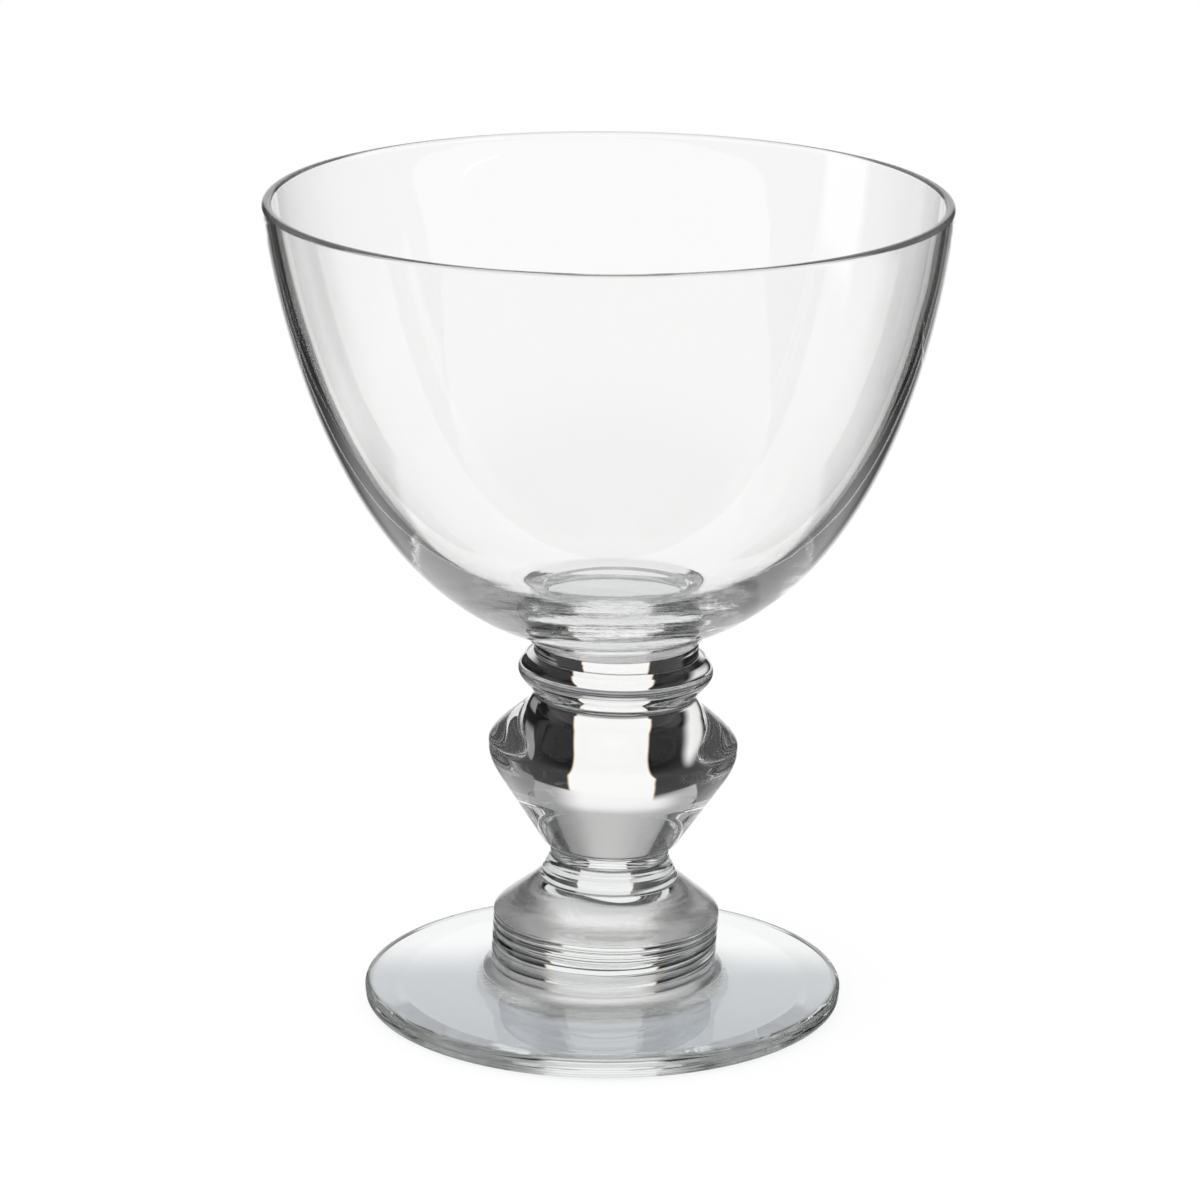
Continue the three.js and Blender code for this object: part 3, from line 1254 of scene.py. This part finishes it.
@dataclass(frozen=True)
class Surround:
    """The pale room: white to the eye, and in the glass a white wall, dark cards and a greyer ceiling.

    Attributes:
        cards: the cards that show through the glass.
        side_cards: the cards that the outer faces mirror where the eye grazes them.
        fringe: colour of the warm light along the edges of the cards.
        ceiling: brightness overhead.
        table: brightness of the polished table close to the glass.
        sheen: brightness that the outer faces mirror.
        sheen_overhead: the same, overhead.
        ambient: brightness as light on the floor.
        ceiling_range: heights between which the ceiling's brightness sets in.
        table_range: depths below the horizon between which the table's brightness sets in.
        sheen_range: heights between which the mirrored room darkens.
    """

    cards: tuple[Card, ...] = (
        Card(-22, -62, 0.45, 17, 45, edge=8),
        Card(18, 62, 0.35, 13, 45, edge=8),
        Card(-58, -97, 0.14, 5, 36),
        Card(60, 97, 0.24, 5, 40),
        Card(-60, -78, 0.02, -20, 6),
        Card(60, 104, 0.1, -20, 8),
        Card(100, 262, 0.07, -90, 75),
        Card(128, 142, 1.0, -23, -7),
        Card(-14.5, -62, 0.004, -41, 18, warm=0.7),
        Card(16, 62, 0.004, -41, 14, warm=0.7),
        Card(-36, -62, 0.04, 16, 26),
        Card(33, 62, 0.2, 8, 20),
        Card(-36, -55, 1.0, -34, -16, edge=4.5, soft=4.5),
        Card(42, 54, 0.3, -26, -14),
    )
    side_cards: tuple[Card, ...] = (
        Card(-16, -74, 0.06, -28, 40, edge=5, soft=6),
        Card(17, 74, 0.06, -28, 40, edge=5, soft=6),
    )
    fringe: Colour = (1.0, 0.55, 0.25)
    ceiling: float = 0.5
    table: float = 0.85
    sheen: float = 1.0
    sheen_overhead: float = 0.15
    ambient: float = 0.9
    ceiling_range: Point = (17, 33)
    table_range: Point = (32, 46)
    sheen_range: Point = (30, 60)

    @staticmethod
    def fade(rise: Value, heights: Point, drop: float) -> Value:
        """A fall by drop, from the lower of two heights to the upper."""
        return rise.ramp(math.radians(heights[0]), math.radians(heights[1])) * drop

    @staticmethod
    def hang(
        cards: tuple[Card, ...], tree: Tree, bearing: tuple[Value, Value, Value], shown: Value
    ) -> tuple[Value, Value | float]:
        """Hang cards in front of a wall, each in front of the ones before it.

        Args:
            cards: the cards.
            tree: the world's tree.
            bearing: the level direction's parts along +X and +Y, and the angle above the horizon.
            shown: brightness of the wall.

        Returns:
            The brightness with the cards, and the share of warm light.
        """
        warm = 0.0
        for card in cards:
            dark, edge = card.masks(tree, *bearing)
            shown = shown * (1 - dark) + dark * card.level
            if card.warm:
                warm = edge + warm
        return shown, warm

    def build(self) -> None:
        """Make the world."""
        world = bpy.data.worlds.new("studio surround")
        world.use_nodes = True
        tree = Tree(world.node_tree)
        x, y, z = tree.split(tree.value("ShaderNodeTexCoord", None, None, "Generated"))
        level = tree.math("SQRT", 1 - z * z).most(LEAST_LEVEL)
        rise = tree.math("ARCSINE", z)
        shown = 1 - self.fade(rise, self.ceiling_range, 1 - self.ceiling)
        shown = shown - self.fade(0 - rise, self.table_range, 1 - self.table)
        shown, warm = self.hang(self.cards, tree, (x / level, y / level, rise), shown)
        mirrored = self.sheen - self.fade(rise, self.sheen_range, self.sheen - self.sheen_overhead)
        mirrored, _ = self.hang(self.side_cards, tree, (x / level, y / level, rise), mirrored)
        path = tree.node("ShaderNodeLightPath")
        camera, glossy, bent = (
            Value(tree, path.outputs[f"Is {kind} Ray"]) for kind in ("Camera", "Glossy", "Transmission")
        )
        in_glass = glossy.most(bent) * (1 - camera)
        strength = camera + in_glass * (bent * shown + (1 - bent) * mirrored)
        strength = strength + (1 - camera) * (1 - in_glass) * self.ambient
        colour = tree.blend(warm * bent, CLEAR, self.fringe)
        sky = tree.value("ShaderNodeBackground", None, {"Color": colour, "Strength": strength})
        tree.node("ShaderNodeOutputWorld", None, {"Surface": sky})
        bpy.context.scene.world = world


@dataclass(frozen=True)
class Floor:
    """A pale floor: white with the glass's shadow to the eye; in the glass a polished table, with painted
    shade under the foot.

    Attributes:
        size: length of its sides.
        drop: how far it lies under the glass.
        own_share: share of its white that the shadow doesn't touch, close to the glass.
        matt: how pale its paint is.
        shade_end: distance from the glass at which the shadow starts to fade out.
        plain_from: distance from which the floor is plain white.
        under_foot: radius of the glowing patch of painted shade that shows through the foot.
        under_drum: radius of the polished middle, which mirrors up into the drum.
        painted_shade_grey: colour of that painted shade.
        clear_from: how far behind the middle the patch starts to fade.
        clear_to: where it has faded.
        polish: how much of the light the polished middle sends back.
        soft: half the width of the soft edges of the patch and of the polished middle.
    """

    size: float = 12000.0
    drop: float = 0.2
    own_share: float = 0.75
    matt: float = 0.9
    shade_end: float = 120.0
    plain_from: float = 420.0
    under_foot: float = 37.0
    under_drum: float = 18.0
    painted_shade_grey: Colour = (0.48, 0.5, 0.53)
    clear_from: float = 0.0
    clear_to: float = 18.0
    polish: float = 0.95
    soft: float = 1.0

    def build(self) -> bpy.types.Object:
        """Make the floor."""
        paint = bpy.data.materials.new("pale floor")
        paint.use_nodes = True
        tree = Tree(paint.node_tree)
        place = tree.value("ShaderNodeTexCoord", None, None, "Object")
        away = tree.value("ShaderNodeVectorMath", {"operation": "LENGTH"}, {0: place}, "Value")
        camera = tree.value("ShaderNodeLightPath", None, None, "Is Camera Ray")
        both = tree.mix(camera, self.in_glass(tree, place, away), self.to_eye(tree, away))
        tree.node("ShaderNodeOutputMaterial", None, {"Surface": both})
        half = self.size * MM / 2
        low = -self.drop * MM
        corners = [(-half, -half, low), (half, -half, low), (half, half, low), (-half, half, low)]
        mesh = bpy.data.meshes.new("floor")
        mesh.from_pydata(corners, [], [(0, 1, 2, 3)])
        mesh.materials.append(paint)
        made = new_object("floor", mesh)
        return made

    def to_eye(self, tree: Tree, away: Value) -> Value:
        """The floor as the eye sees it.

        Args:
            tree: the floor's tree.
            away: distance from the middle of the glass.

        Returns:
            A white shader that takes a soft shadow close to the glass.
        """
        matt = tree.value("ShaderNodeBsdfDiffuse", None, {"Color": (self.matt, self.matt, self.matt, 1)})
        plain = away.ramp(self.shade_end * MM, self.plain_from * MM)
        own = self.own_share + plain * (1 - self.own_share)
        return tree.mix(own, matt, tree.glow(CLEAR))

    def in_glass(self, tree: Tree, place: Value, away: Value) -> Value:
        """The table as the glass shows it.

        Args:
            tree: the floor's tree.
            place: where the floor is looked at.
            away: distance from the middle of the glass.

        Returns:
            A mirror under the drum, a glowing patch of painted shade under the foot, and nothing further
            out.
        """
        _, y, _ = tree.split(place)
        sent_back = (self.polish, self.polish, self.polish, 1)
        mirror = tree.value("ShaderNodeBsdfGlossy", None, {"Color": sent_back, "Roughness": 0.0})
        outside = away.ramp((self.under_drum - self.soft) * MM, (self.under_drum + self.soft) * MM)
        behind = y.ramp(self.clear_from * MM, self.clear_to * MM)
        beyond = away.ramp((self.under_foot - self.soft) * MM, (self.under_foot + self.soft) * MM)
        # Painted shade: a glowing patch under the foot stands in for the shaded table.
        under = tree.mix(outside, mirror, tree.glow(self.painted_shade_grey))
        return tree.mix(beyond.most(behind * outside), under, tree.clear())


@dataclass(frozen=True)
class SoftLamp:
    """One wide lamp overhead, which gives the floor the glass's shadow.

    Attributes:
        size: length of its sides.
        place: where it hangs.
        power: its strength, in watts.
    """

    size: float = 900.0
    place: tuple[float, float, float] = (-250.0, -100.0, 1400.0)
    power: float = 9.0

    def build(self) -> bpy.types.Object:
        """Hang the lamp and point it at the glass."""
        light = bpy.data.lights.new("soft lamp", "AREA")
        light.size = self.size * MM
        light.energy = self.power
        made = new_object("soft_lamp", light)
        made.location = Vector(self.place) * MM
        made.rotation_euler = (-made.location).to_track_quat("-Z", "Y").to_euler()
        made.visible_glossy = False
        made.visible_transmission = False
        return made


@dataclass(frozen=True)
class Eye:
    """The camera, as it stood for the picture.

    Attributes:
        place: where it stands.
        down: how far it looks below the horizon.
        roll: how far it is turned about its view.
        focal_pixels: focal length, in pixels of the picture.
        picture: width of the picture, in pixels.
        sensor: width of the sensor.
        near: closest distance that it shows.
        far: furthest distance that it shows.
    """

    place: tuple[float, float, float] = (-0.84, -764.4, 290.2)
    down: float = 16.425
    roll: float = 0.44
    focal_pixels: float = 5146.0
    picture: float = 1200.0
    sensor: float = 36.0
    near: float = 10.0
    far: float = 100000.0

    def build(self) -> bpy.types.Object:
        """Make the camera and give it to the scene."""
        lens = bpy.data.cameras.new("eye")
        lens.sensor_width = self.sensor
        lens.lens = self.focal_pixels * self.sensor / self.picture
        lens.clip_start = self.near * MM
        lens.clip_end = self.far * MM
        made = new_object("eye", lens)
        level = Matrix.Rotation(math.radians(90 - self.down), 4, "X")
        turned = Matrix.Rotation(math.radians(self.roll), 4, "Z")
        made.matrix_world = Matrix.Translation(Vector(self.place) * MM) @ level @ turned
        bpy.context.scene.camera = made
        return made


def main() -> None:
    """Build the studio and the glass, piece by piece."""
    logging.basicConfig(level=logging.INFO, format="%(name)s: %(message)s")
    scene = bpy.context.scene
    scene.view_settings.view_transform = "Standard"
    scene.cycles.max_bounces = LONGEST_PATH
    scene.cycles.transmission_bounces = LONGEST_PATH
    scene.cycles.glossy_bounces = LONGEST_PATH
    scene.cycles.transparent_max_bounces = LONGEST_PATH
    Eye().build()
    Surround().build()
    Floor().build()
    SoftLamp().build()
    lathe = Lathe()
    joint = FusedJoint().material()
    finishes = {
        Slot.FOOT: FOOT_GLASS.material(),
        Slot.STEM: STEM_GLASS.material(),
        Slot.BOWL: BOWL_GLASS.material(),
    }
    pieces = (Foot(), BaseDrum(), LowerNeck(), Knop(), CollarNeck(), RingCollar(), BowlPost(), Bowl())
    for piece in pieces:
        made = piece.build(lathe, finishes[piece.slot], joint)
        LOG.info("%s: %d faces, stands for %s", made.name, len(made.data.polygons), piece.node)


if __name__ == "__main__":
    main()
